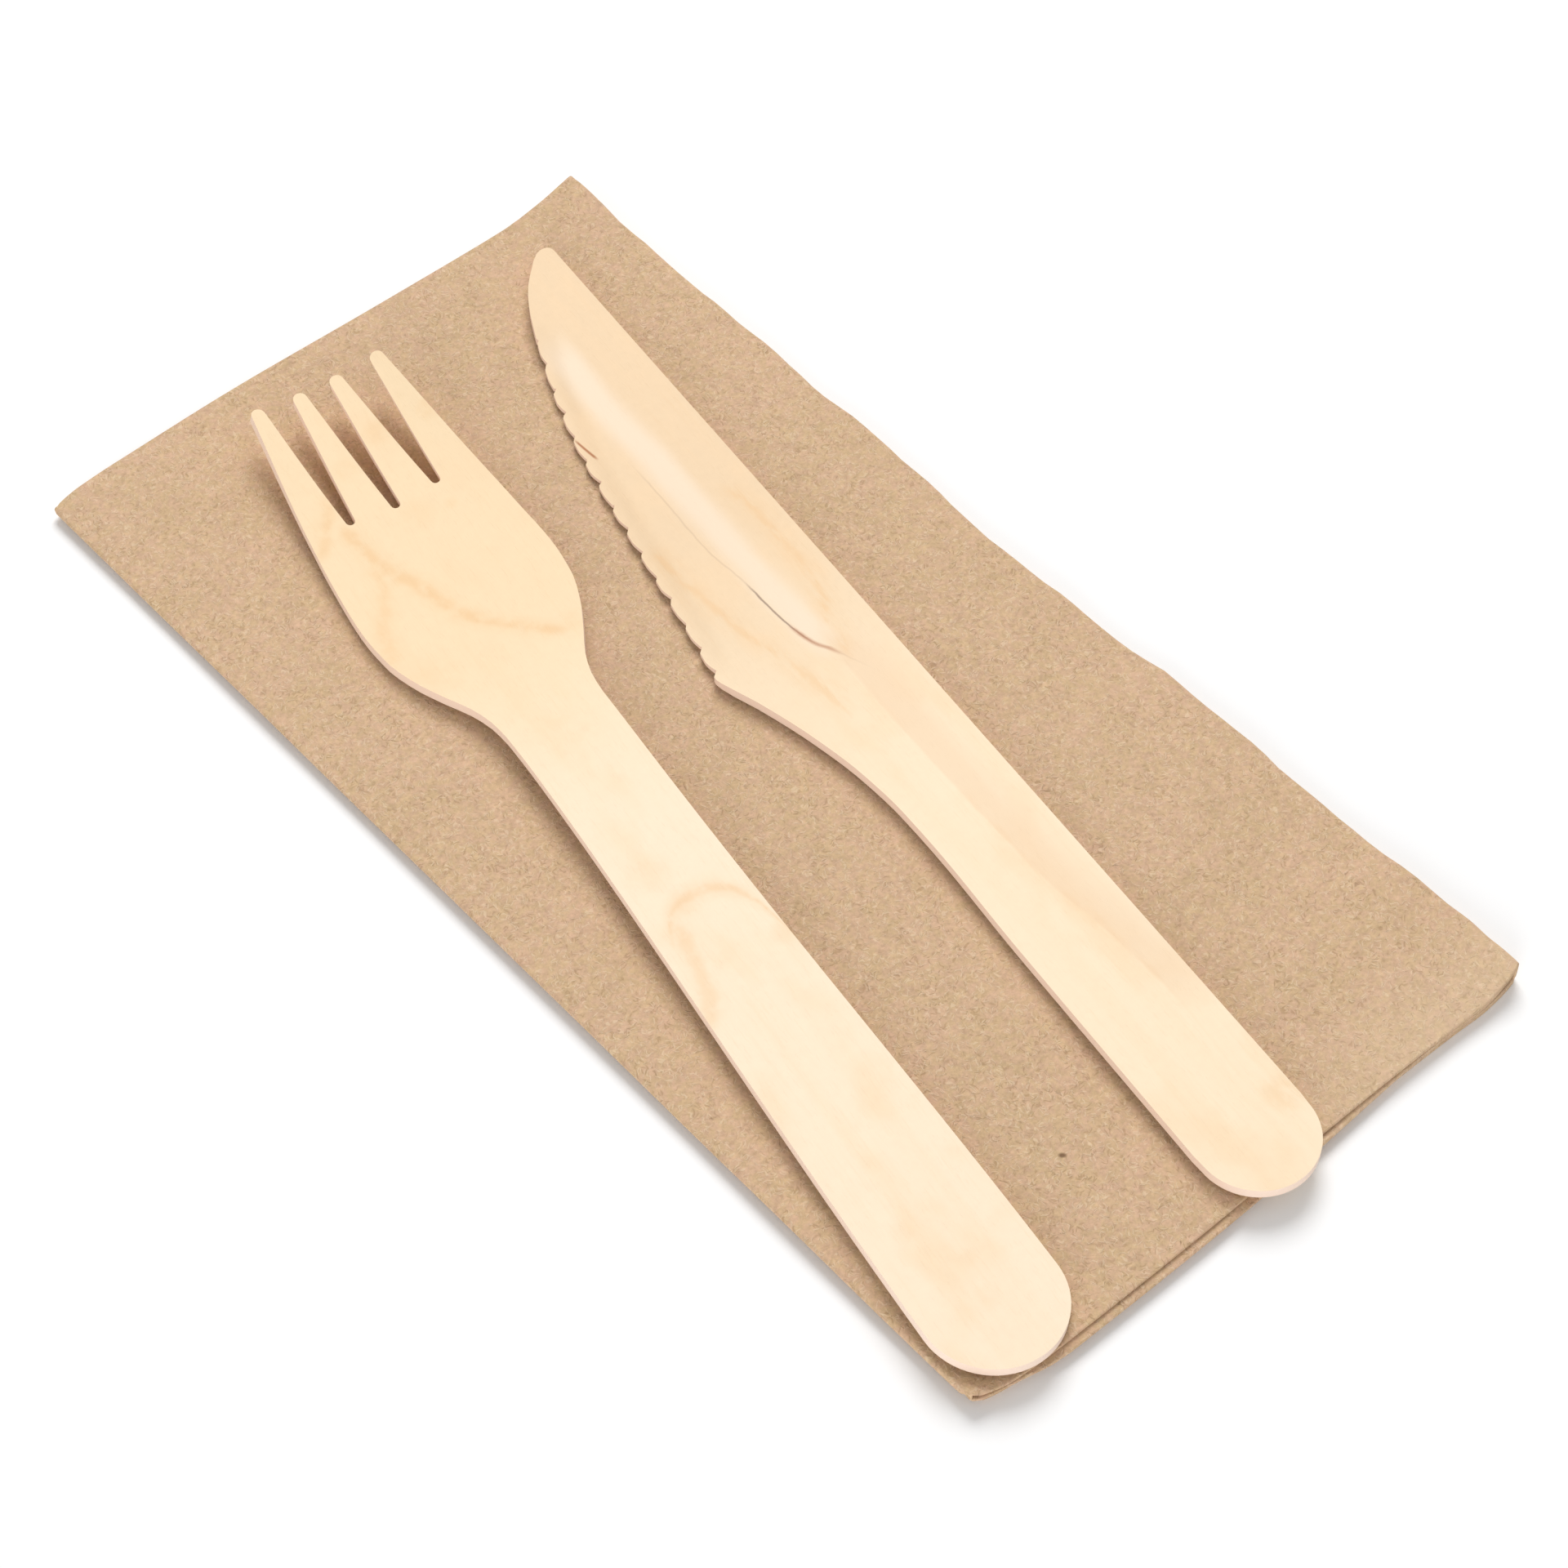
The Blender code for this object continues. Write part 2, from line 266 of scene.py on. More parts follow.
def waves(x, y, items):
    """A sum of long waves: each item is (wavelength, heading in degrees, phase, height)."""
    total = 0.0
    for length, heading, phase, height in items:
        turn = radians(heading)
        total = total + height * np.sin(2 * pi * (x * cos(turn) + y * sin(turn)) / length + phase)
    return total


FACE_WAVES = [(61, 12, 0.4, 0.09), (43, 96, 1.9, 0.06), (29, 63, 4.1, 0.035), (23, 141, 2.7, 0.025)]
EDGE_WAVES = [(31, 84, 2.2, 0.16), (17, 97, 0.6, 0.07)]
FOLD_CREASES = [(13.3, 90, 1.1, 0.11), (7.9, 90, 3.0, 0.05), (5.3, 90, 0.4, 0.02)]
CORNER_RADII = {(-1, -1): 1.8, (1, -1): 0.7, (-1, 1): 1.0, (1, 1): 0.9}


def rounded(x, y):
    """Turns the square at each corner of the packet into a quarter disc of that corner's radius."""
    for (side, end), radius in CORNER_RADII.items():
        u = (x * side - half_width) / radius + 1
        v = (y * end - half_length) / radius + 1
        inside = (u > 0) & (v > 0)
        pull = np.where(inside, np.maximum(u, v) / np.maximum(np.hypot(u, v), 1e-9), 1.0) - 1
        x = x + side * radius * u * pull
        y = y + end * radius * v * pull
    return x, y


def soften(x, y, z, across):
    """Moves folded points to where used paper has them. across is the place on the open sheet."""
    share = z / napkin_top
    right = rise(8, half_width, x)
    in_from_right = np.maximum(half_width - x, 0)
    in_from_left = np.maximum(half_width + x, 0)
    upper = rise(stack_four, stack_four + LAYER_GAP, z)
    top_pair = rise(napkin_top - stack_two - LAYER_GAP, napkin_top - stack_two, z)

    swell = glide(FOLD_SWELL, y) * np.exp(-(in_from_right / 4.2) ** 1.5)
    side_swell = glide(SIDE_SWELL, y) * np.exp(-(in_from_left / 3.0) ** 1.5)
    lift = swell * upper + side_swell * top_pair
    lift = lift + share * (waves(x, y, FACE_WAVES) + waves(x, y, EDGE_WAVES) * right)
    lift = lift - share * 0.35 * rise(4.0, 0.0, in_from_left) * rise(-80, -60, y)
    corner = np.hypot(x - half_width, y - half_length)
    lift = lift + share * 0.9 * rise(14, 0, corner)

    near = rise(-half_length + 9, -half_length, y)
    far = rise(half_length - 12, half_length, y)
    past_side = across - side_fold
    tucked = 0.9 * rise(4, 12, past_side) * rise(72, 45, past_side)
    shift_x = (glide(RIGHT_EDGE_WANDER, y) + waves(x, y, FOLD_CREASES)) * right
    shift_y = glide(FAR_EDGE_WANDER, x) * far + (glide(NEAR_EDGE_WANDER, x) - tucked) * near
    x, y = rounded(x, y)
    return x + shift_x, y + shift_y, z + lift


# %% [markdown]
# ## From the open sheet to the packet
#
# A point of the sheet has a place across it, a place down it and a height within the
# paper's thickness. The three folds and the softening take it to its place in the
# packet. The sheet has an upper and a lower side, joined round its rim by a narrow wall,
# so it is one closed skin from start to end.

# %% Fold the sheet
def place_sheet(across, down, height):
    down, height = fold_over(down, height, end_fold, stack_one)
    folded_across, height = fold_over(across, height, side_fold, stack_two)
    back = down - half_length
    square_across = folded_across * cos(FOLD_SKEW) - back * sin(FOLD_SKEW)
    square_down = folded_across * sin(FOLD_SKEW) + back * cos(FOLD_SKEW)
    square_across, height = fold_over(square_across, height, last_fold * cos(FOLD_SKEW), stack_four)
    x = square_across * cos(FOLD_SKEW) + square_down * sin(FOLD_SKEW)
    y = square_across * sin(FOLD_SKEW) - square_down * cos(FOLD_SKEW)
    return soften(x - (last_fold + last_reach - half_width), y + skew_drift / 2, height, across)


def closed_skin(lower, upper):
    """Points and faces of a thin closed sheet from two grids of points, lower and upper."""
    rows, columns = lower.shape[:2]
    points = np.concatenate([lower.reshape(-1, 3), upper.reshape(-1, 3)])
    index = np.arange(rows * columns).reshape(rows, columns)
    quads = np.stack([index[:-1, :-1], index[:-1, 1:], index[1:, 1:], index[1:, :-1]], -1).reshape(-1, 4)
    rim = np.concatenate([index[0, :-1], index[:-1, -1], index[-1, :0:-1], index[:0:-1, 0]])
    ahead = np.roll(rim, -1)
    wall = np.stack([ahead, rim, rim + rows * columns, ahead + rows * columns], -1)
    return points, np.concatenate([quads, quads[:, ::-1] + rows * columns, wall])


def mesh_object(name, points, faces):
    """A smooth-shaded object from points in millimetres."""
    mesh = bpy.data.meshes.new(name)
    mesh.from_pydata((np.asarray(points) * MM).tolist(), [], [list(map(int, face)) for face in faces])
    mesh.validate()
    mesh.shade_smooth()
    piece = bpy.data.objects.new(name, mesh)
    bpy.context.scene.collection.objects.link(piece)
    return piece


across_grid = np.array([lines_across(shift) for shift in last_shifts])
down_grid = np.repeat(downs[:, None], across_grid.shape[1], axis=1)
sides = [np.stack(place_sheet(across_grid, down_grid, np.full_like(down_grid, level)), -1)
         for level in (0.0, PLY)]
napkin = mesh_object("folded_napkin", *closed_skin(*sides))
napkin.data.set_sharp_from_angle(angle=radians(60))
print("napkin triangles", 2 * len(napkin.data.polygons))

# %% [markdown]
# ## Veneer blanks
#
# Fork and knife are stamped from one sheet of rotary-cut birch about 1.4 mm thick, and
# then pressed. A sculptor might start from a box and push it about, but a stamping is an
# outline first: it has one thickness everywhere and a crisp cut wall all round.
#
# So each piece is a grid of points laid between the two sides of its outline, row by
# row along its length. A height function then bends the flat blank the way the press
# does. Solidify gives it the veneer's thickness, and a narrow bevel takes the sharpness
# off the rim, as tumbling the finished cutlery does.

# %% From rows of points to a veneer piece
VENEER = 1.25
RIM_RADIUS = 0.26
RIM_STEPS = 3
REST_GAP = 0.3
napkin_cad_top = (napkin_high.z - napkin_low.z) / MM


def weld_grids(grids):
    """One list of points and faces from grids that share points along their joints."""
    index, points, faces = {}, [], []
    for rows in grids:
        numbered = []
        for row in rows:
            keys = [(round(float(along), 4), round(float(across), 4)) for along, across in row]
            numbered.append([index.setdefault(key, len(index)) for key in keys])
        for low, high in zip(numbered, numbered[1:]):
            for a, b, c, d in zip(low, low[1:], high[1:], high):
                loop = [v for i, v in enumerate((a, b, c, d)) if v != (a, b, c, d)[i - 1]]
                if len(set(loop)) > 2:
                    faces.append(loop)
    points = sorted(index, key=index.get)
    return np.array(points), faces


def stamp(name, grids, height, end, turn, fullness=None):
    """A veneer piece whose axis starts at end and is turned from +Y towards +X."""
    flat, faces = weld_grids(grids)
    along, across = flat[:, 0], flat[:, 1]
    lift = height(along, across)
    x = end[0] + along * sin(turn) + across * cos(turn)
    y = end[1] + along * cos(turn) - across * sin(turn)
    piece = mesh_object(name, np.stack([x, y, lift - lift.min() + napkin_cad_top + REST_GAP], -1), faces)
    thicken = piece.modifiers.new("veneer", "SOLIDIFY")
    thicken.thickness = VENEER * MM
    thicken.offset = 1.0
    if fullness:
        group = piece.vertex_groups.new(name="fullness")
        for vertex, share in enumerate(fullness(along, across)):
            group.add([vertex], float(share), "REPLACE")
        thicken.vertex_group = group.name
    rim = piece.modifiers.new("tumbled_rim", "BEVEL")
    rim.width = RIM_RADIUS * MM
    rim.segments = RIM_STEPS
    rim.limit_method = "ANGLE"
    rim.angle_limit = radians(55)
    rim.harden_normals = True
    return piece


# %% [markdown]
# ## The fork
#
# A round handle end, a straight taper, a narrow neck and a broad shoulder that tapers to
# four tines. Pressing leaves the neck arched clear of the napkin, the head slightly
# dished, the tines turned up, and the whole blank with a little twist.
#
# The tines can't be one grid with the handle, because slots part them. The handle and
# shoulder are one grid whose last row runs along the slots' round bottoms, and each tine
# is a small grid that starts from its own share of that row.

# %% The fork's measures
FORK_END = (-33.5, -82.7)
FORK_TURN = radians(9.3)
FORK_LENGTH = 157.4
FORK_END_RADIUS = 8.2
FORK_HALF_WIDTH = [(8.2, 8.2), (14, 8.15), (92, 6.3), (98, 6.35), (101, 6.65), (104, 7.5),
                   (108, 9.5), (112, 11.35), (116, 12.5), (121, 12.9), (130, 12.35),
                   (138, 11.55), (146, 10.65), (156.5, 9.35)]
FORK_RISE = [(0, 0.2), (50, 0.6), (92, 1.3), (112, 0.1), (126, 0.0), (140, 0.9), (157.4, 3.2)]
FORK_SCOOP = [(95, 0), (112, 0.7), (136, 0.7), (157.4, 2.4)]
FORK_TWIST = [(0, -0.5), (95, 0.3), (125, 0.8), (157.4, 1.0)]
SCOOP_REACH = 14.0
SLOT_RADIUS = 0.6
SLOT_MIDDLES = (-5.9, 0.0, 5.9)
SLOT_ROOTS = (137.0, 136.4, 137.0)
TINE_TIP_RADIUS = 0.9
TINE_TIP_MIDDLES = (-8.45, -2.6, 2.6, 8.45)


def fork_height(along, across):
    """How far the press lifts the fork's underside, in millimetres."""
    sideways = across / SCOOP_REACH
    return (glide(FORK_RISE, along) + glide(FORK_SCOOP, along) * sideways ** 2
            + glide(FORK_TWIST, along) * sideways)


def tine_sides(tine, along):
    """The left and the right side of a tine at a distance along the fork."""
    outer = float(glide(FORK_HALF_WIDTH, along))
    sides = []
    for slot, way in ((tine - 1, 1), (tine, -1)):
        if slot in (-1, len(SLOT_MIDDLES)):
            sides.append(-way * outer)
            continue
        root = SLOT_ROOTS[slot] + SLOT_RADIUS
        share = (along - root) / (FORK_LENGTH - TINE_TIP_RADIUS - root)
        at_root = SLOT_MIDDLES[slot] + way * SLOT_RADIUS
        at_tip = TINE_TIP_MIDDLES[tine] - way * TINE_TIP_RADIUS
        sides.append(at_root + (at_tip - at_root) * share)
    return sides


# %% Lay out the fork's grids
TINE_CELLS = 6
SLOT_CELLS = 8
BLANK_STEP = 1.6


def round_end(radius, steps):
    """(along, half-width) pairs round a half-circle handle end."""
    turns = np.linspace(0, pi / 2, steps + 1)
    return list(zip(radius * (1 - np.cos(turns)), radius * np.sin(turns)))


def slot_row():
    """Points across the head that follow the slots' round bottoms from side to side."""
    row = []
    last = len(SLOT_MIDDLES) - 1
    for tine in range(len(TINE_TIP_MIDDLES)):
        left_root = SLOT_ROOTS[max(tine - 1, 0)] + SLOT_RADIUS
        right_root = SLOT_ROOTS[min(tine, last)] + SLOT_RADIUS
        left = tine_sides(tine, left_root)[0]
        right = tine_sides(tine, right_root)[1]
        for share in np.linspace(0, 1, TINE_CELLS + 1):
            row.append((left_root + (right_root - left_root) * share, left + (right - left) * share))
        if tine <= last:
            for turn in np.linspace(0, pi, SLOT_CELLS + 1)[1:-1]:
                along = right_root - SLOT_RADIUS * sin(turn)
                row.append((along, SLOT_MIDDLES[tine] - SLOT_RADIUS * cos(turn)))
    return row


def fork_grids():
    root_row = slot_row()
    half = root_row[-1][1]
    shares = [across / half for along, across in root_row]
    stations = round_end(FORK_END_RADIUS, 16)
    stations += [(along, float(glide(FORK_HALF_WIDTH, along))) for along in spread(9.5, 134.5, BLANK_STEP)]
    body = [[(along, width * share) for share in shares] for along, width in stations]
    grids = [body + [root_row]]
    shoulder = FORK_LENGTH - TINE_TIP_RADIUS
    for tine, middle in enumerate(TINE_TIP_MIDDLES):
        first = tine * (TINE_CELLS + SLOT_CELLS)
        rows = [root_row[first:first + TINE_CELLS + 1]]
        start = max(along for along, across in rows[0])
        for along in spread(start, shoulder, BLANK_STEP)[1:]:
            left, right = tine_sides(tine, along)
            rows.append([(along, across) for across in np.linspace(left, right, TINE_CELLS + 1)])
        for turn in np.radians((20, 38, 54, 68, 80, 90)):
            reach = TINE_TIP_RADIUS * cos(turn)
            along = shoulder + TINE_TIP_RADIUS * sin(turn)
            rows.append([(along, middle + reach * share) for share in np.linspace(-1, 1, TINE_CELLS + 1)])
        grids.append(rows)
    return grids


fork = stamp("birch_fork", fork_grids(), fork_height, FORK_END, FORK_TURN)
print("fork faces before thickening", len(fork.data.polygons))

# %% [markdown]
# ## The knife
#
# One side is a straight back and the other carries the shape: a handle that narrows, a
# choil that runs out to a heel, and a belly with fourteen shallow teeth. A bread-knife
# tooth is not a zigzag. Each one is a flat that ends in a short steep step, a little
# unlike its neighbours, because a worn die cuts soft wood.
#
# Along the blade the press has also left a shallow hollow, which shows as one long pale
# stripe. It is part of the height function, so that it catches the light by its shape, and a
# pale band painted along it as a highlight makes the stripe stronger.
#
# The blade is rubbed thinner towards its teeth. The layer that gives the blank its
# thickness takes a share of it from each vertex, so the thinning is a second function
# of the place, measured from the smooth belly and not from the toothed edge, which would
# leave a crease at every tooth.

# %% The knife's measures
KNIFE_END = (8.9, -86.4)
KNIFE_TURN = radians(7.7)
KNIFE_END_RADIUS = 7.1
KNIFE_HANDLE_WIDTH = 14.4
KNIFE_UNDERSIDE = [(7.1, -14.4), (40, -14.25), (56, -13.9), (63, -14.05), (70, -14.8),
                   (78, -16.6), (85, -18.85), (90.2, -20.85), (91.2, -21.05)]
KNIFE_BELLY = [(91.2, -21.05), (93, -20.7), (99, -19.75), (109, -18.45), (122, -16.7), (131, -15.3),
               (139, -13.4), (147, -10.9), (154, -8.3), (158, -6.15), (161.6, -3.2)]
KNIFE_TIP = [(162.1, -2.65, -0.05), (162.5, -2.2, -0.2), (162.75, -1.7, -0.5), (162.85, -1.35, -0.85)]
TEETH = 14
TOOTH_PITCH = 4.1
TOOTH_DEPTH = 0.6
FIRST_TOOTH = 92.4
HOLLOW_ROUTE = [(70, -8.6), (88, -9.7), (110, -10.4), (135, -11.2), (150, -9.6)]
HOLLOW_DEPTH = [(72, 0), (84, 0.20), (96, 0.36), (118, 0.32), (134, 0.2), (148, 0)]
HOLLOW_REACH = 3.6


def knife_height(along, across):
    """The pressed hollow's depth below the flat blank."""
    aside = (across - glide(HOLLOW_ROUTE, along)) / HOLLOW_REACH
    return -glide(HOLLOW_DEPTH, along) * np.maximum(0, 1 - aside ** 2) ** 2


def knife_edge(along):
    """The cutting side's outline: the handle and choil, then the belly with its teeth."""
    if along < KNIFE_BELLY[0][0]:
        return float(glide(KNIFE_UNDERSIDE, along))
    belly = float(glide(KNIFE_BELLY, along))
    tooth, phase = divmod((along - FIRST_TOOTH) / TOOTH_PITCH, 1.0)
    if not 0 <= tooth < TEETH:
        return belly
    depth = TOOTH_DEPTH * (0.85 + 0.3 * sin(2.4 * tooth + 0.8))
    step = max(0.0, 1 - phase / 0.5) ** 1.4 + 0.9 * max(0.0, (phase - 0.84) / 0.16)
    return belly + depth * min(step, 1.0)


def knife_fullness(along, across):
    """The share of the veneer's thickness, which is rubbed thinner towards the teeth."""
    inset = across - glide(KNIFE_BELLY, along) - 0.4
    worn = rise(88, 95, along) * rise(152, 146, along)
    return 1 - worn * 0.6 * rise(2.6, 0.0, inset)


# %% Lay out the knife's grid
KNIFE_CELLS = 26
TOOTH_PHASES = (0.0, 0.04, 0.12, 0.22, 0.34, 0.48, 0.66, 0.84, 0.92)


def knife_rows():
    middle = -KNIFE_HANDLE_WIDTH / 2
    rows = [(along, middle - half, middle + half) for along, half in round_end(KNIFE_END_RADIUS, 16)]
    places = list(spread(8.6, 90.2, BLANK_STEP)) + [90.7, 91.2, 91.7]
    for tooth in range(TEETH):
        places += [FIRST_TOOTH + TOOTH_PITCH * (tooth + phase) for phase in TOOTH_PHASES]
    places += list(spread(FIRST_TOOTH + TOOTH_PITCH * TEETH, 161.6, 0.9))
    rows += [(along, knife_edge(along), 0.0) for along in places]
    return rows + KNIFE_TIP


knife_grid = [[(along, low + (high - low) * share) for share in np.linspace(0, 1, KNIFE_CELLS + 1)]
              for along, low, high in knife_rows()]
knife = stamp("birch_knife", [knife_grid], knife_height, KNIFE_END, KNIFE_TURN, knife_fullness)
print("knife faces before thickening", len(knife.data.polygons))

# %% [markdown]
# ## Writing shader maths as sums
#
# A material is a graph of nodes, and a graph typed out node by node hides what it works
# out. The small class below wraps a socket, so that an ordinary sum such as
# `1 - grain * 0.1` adds the Math nodes for it. Any other node comes from one method,
# which sets the node's own settings first and then its sockets.
#
# A Math node would turn a colour grey, so colours go through Mix and places through
# Vector Math. Numbers that are the same all over a piece stay in Python.

# %% A socket that can be summed
class Signal:
    """One number, colour or vector that changes over a surface."""

    def __init__(self, finish, socket):
        self.finish = finish
        self.socket = socket

    def math(self, operation, *values):
        numbered = dict(enumerate(values))
        return self.finish.add("ShaderNodeMath", {"operation": operation}, numbered)

    def __add__(self, other):
        return self.math("ADD", self, other)

    def __sub__(self, other):
        return self.math("SUBTRACT", self, other)

    def __rsub__(self, other):
        return self.math("SUBTRACT", other, self)

    def __mul__(self, other):
        return self.math("MULTIPLY", self, other)

    def __truediv__(self, other):
        return self.math("DIVIDE", self, other)

    __radd__ = __add__
    __rmul__ = __mul__

    def beside(self, output):
        """Another output of the node that this number comes from."""
        return Signal(self.finish, self.socket.node.outputs[output])

    def size(self):
        return self.math("ABSOLUTE", self)

    def root(self):
        return self.math("SQRT", self)

    def most(self, other):
        return self.math("MAXIMUM", self, other)

    def between(self, low, high):
        """0 below low, 1 above high, and smooth between them. Low may be the larger."""
        if low > high:
            return 1 - self.between(high, low)
        inputs = {"Value": self, "From Min": low, "From Max": high}
        return self.finish.add("ShaderNodeMapRange", {"interpolation_type": "SMOOTHSTEP"}, inputs)


# %% [markdown]
# ## A finish and its way of adding nodes
#
# Each material starts from a Principled shader whose fixed numbers are set on its own
# sockets. What changes over the surface is linked to it at the end, by `link`. Lengths
# inside a finish are in millimetres, because fibres and grain are easier to judge that
# way. A finish can have its own start and heading, so that its X runs across a piece of
# wood and its Y along it, however the piece is laid.
#
# Lines in wood wander, so a line is a curve node through a few stations: it takes the
# place along the piece and gives the line's place across it.

# %% The finish class
class Finish:
    """A material under construction. end and turn give where its place starts and how it is turned."""

    def __init__(self, name, end=(0.0, 0.0), turn=0.0, **fixed):
        self.material = bpy.data.materials.new(name)
        self.material.use_nodes = True
        self.tree = self.material.node_tree
        self.shader = self.tree.nodes["Principled BSDF"]
        for socket, value in fixed.items():
            self.shader.inputs[socket.replace("_", " ")].default_value = value
        here = self.scaled(self.add("ShaderNodeTexCoord", output="Object"), (1 / MM, 1 / MM, 1 / MM))
        self.place = self.turned(self.shifted(here, (-end[0], -end[1], 0.0)), turn)
        self.facing = self.add("ShaderNodeTexCoord", output="Normal")

    def add(self, kind, settings=None, inputs=None, output=0):
        """A new node: its settings are set first, then its sockets, and one output is returned."""
        node = self.tree.nodes.new(kind)
        for name, value in (settings or {}).items():
            if name == "points":
                self.draw_curve(node.mapping, value)
            else:
                setattr(node, name, value)
        for name, value in (inputs or {}).items():
            if isinstance(value, Signal):
                self.tree.links.new(value.socket, node.inputs[name])
            else:
                node.inputs[name].default_value = value
        return Signal(self, node.outputs[output])

    def draw_curve(self, mapping, points):
        """Puts a curve node's points where they are asked for."""
        curve = mapping.curves[0]
        for place in points[1:-1]:
            curve.points.new(*place)
        for point, place in zip(curve.points, points):
            point.location = place
        mapping.update()

    def parts(self, vector):
        """The X, Y and Z of a vector."""
        return [self.add("ShaderNodeSeparateXYZ", None, {0: vector}, axis) for axis in "XYZ"]

    def scaled(self, vector, factors):
        return self.add("ShaderNodeVectorMath", {"operation": "MULTIPLY"}, {0: vector, 1: factors})

    def shifted(self, vector, other):
        return self.add("ShaderNodeVectorMath", {"operation": "ADD"}, {0: vector, 1: other})

    def turned(self, vector, angle):
        """A vector turned about Z."""
        inputs = {"Vector": vector, "Angle": angle}
        return self.add("ShaderNodeVectorRotate", {"rotation_type": "Z_AXIS"}, inputs)

    def route(self, value, stations):
        """A smooth curve through (value, result) stations, held level beyond its ends."""
        low, high = stations[0][0], stations[-1][0]
        results = [result for _, result in stations]
        least, reach = min(results), max(results) - min(results)
        points = [((at - low) / (high - low), (result - least) / reach) for at, result in stations]
        share = (value - low) / (high - low)
        return self.add("ShaderNodeFloatCurve", {"points": points}, {"Value": share}) * reach + least

    def noise(self, vector, size, detail=2.0, rough=0.5, output="Fac"):
        """Soft noise whose blotches are about size millimetres across."""
        inputs = {"Vector": vector, "Scale": 1 / size, "Detail": detail, "Roughness": rough}
        return self.add("ShaderNodeTexNoise", {"noise_dimensions": "3D"}, inputs, output)

    def blend(self, share, first, second, mode="MIX"):
        """A colour between first and second."""
        settings = {"data_type": "RGBA", "blend_type": mode, "clamp_factor": True}
        colours = [tint if isinstance(tint, Signal) else (*tint, 1.0) for tint in (first, second)]
        return self.add("ShaderNodeMix", settings, {0: share, 6: colours[0], 7: colours[1]}, 2)

    def shaded(self, colour, shade):
        """A colour made lighter or darker by a number about 1."""
        grey = self.add("ShaderNodeCombineXYZ", None, {0: shade, 1: shade, 2: shade})
        return self.blend(1.0, colour, grey, "MULTIPLY")

    def link(self, signal, socket):
        self.tree.links.new(signal.socket, self.shader.inputs[socket])

    def relief(self, height, depth):
        """Bumps of a height between 0 and 1, that deep in millimetres."""
        inputs = {"Height": height, "Distance": depth * MM, "Strength": 1.0}
        return self.add("ShaderNodeBump", None, inputs, "Normal")


def linear(red, green, blue):
    """A display colour, 0 to 255, as the linear colour that a shader takes."""
    def one(value):
        share = value / 255
        return share / 12.92 if share <= 0.04045 else ((share + 0.055) / 1.055) ** 2.4
    return one(red), one(green), one(blue)


# %% [markdown]
# ## Kraft napkin paper
#
# Unbleached paper gets its look from what is left in the pulp. The ground is a warm
# brown that clouds from yellowish to pinkish over a few millimetres. Short fibres lie in
# every direction: most are a little darker than the ground, some are pale, and a few are
# dark flecks of bark.
#
# A fibre is longer than it is wide, and plain noise has no direction. Cells of a Voronoi
# texture that is squeezed along one axis are slivers, and keeping only some of the cells
# leaves separate fibres. Four such layers, each turned another way and bent a little by
# noise, cover all directions.

# %% The paper's finish
KRAFT_YELLOW = linear(205, 175, 137)
KRAFT_PINK = linear(208, 173, 144)
KRAFT_DEEP = linear(162, 128, 92)
KRAFT_FLECK = linear(104, 74, 52)
KRAFT_PALE = linear(236, 212, 180)
KRAFT_TOOTH = 0.09


def blot(across, along, centre, radius):
    """A soft round spot about (along, across)."""
    x = across - centre[1]
    y = along - centre[0]
    return (x * x + y * y).root().between(radius, radius * 0.25)


def fibres(finish, place, heading, length, width, kept):
    """1 on scattered slivers that lie along a heading, 0 between them."""
    here = finish.scaled(finish.turned(place, radians(heading)), (1 / length, 1 / width, 1 / width))
    near = finish.add("ShaderNodeTexVoronoi", {"voronoi_dimensions": "2D"}, {"Vector": here, "Scale": 1.0})
    chosen = finish.parts(near.beside("Color"))[0].between(1 - kept, 1 - kept + 0.02)
    return near.between(0.36, 0.16) * chosen


def all_ways(finish, place, length, width, kept):
    """Fibres along four headings, a little different from even quarters."""
    found = fibres(finish, place, 8, length, width, kept)
    for step, heading in enumerate((51, 97, 139)):
        moved = finish.shifted(place, (7.3 * (step + 1), 3.1 * step, 0.0))
        found = found.most(fibres(finish, moved, heading, length, width, kept))
    return found


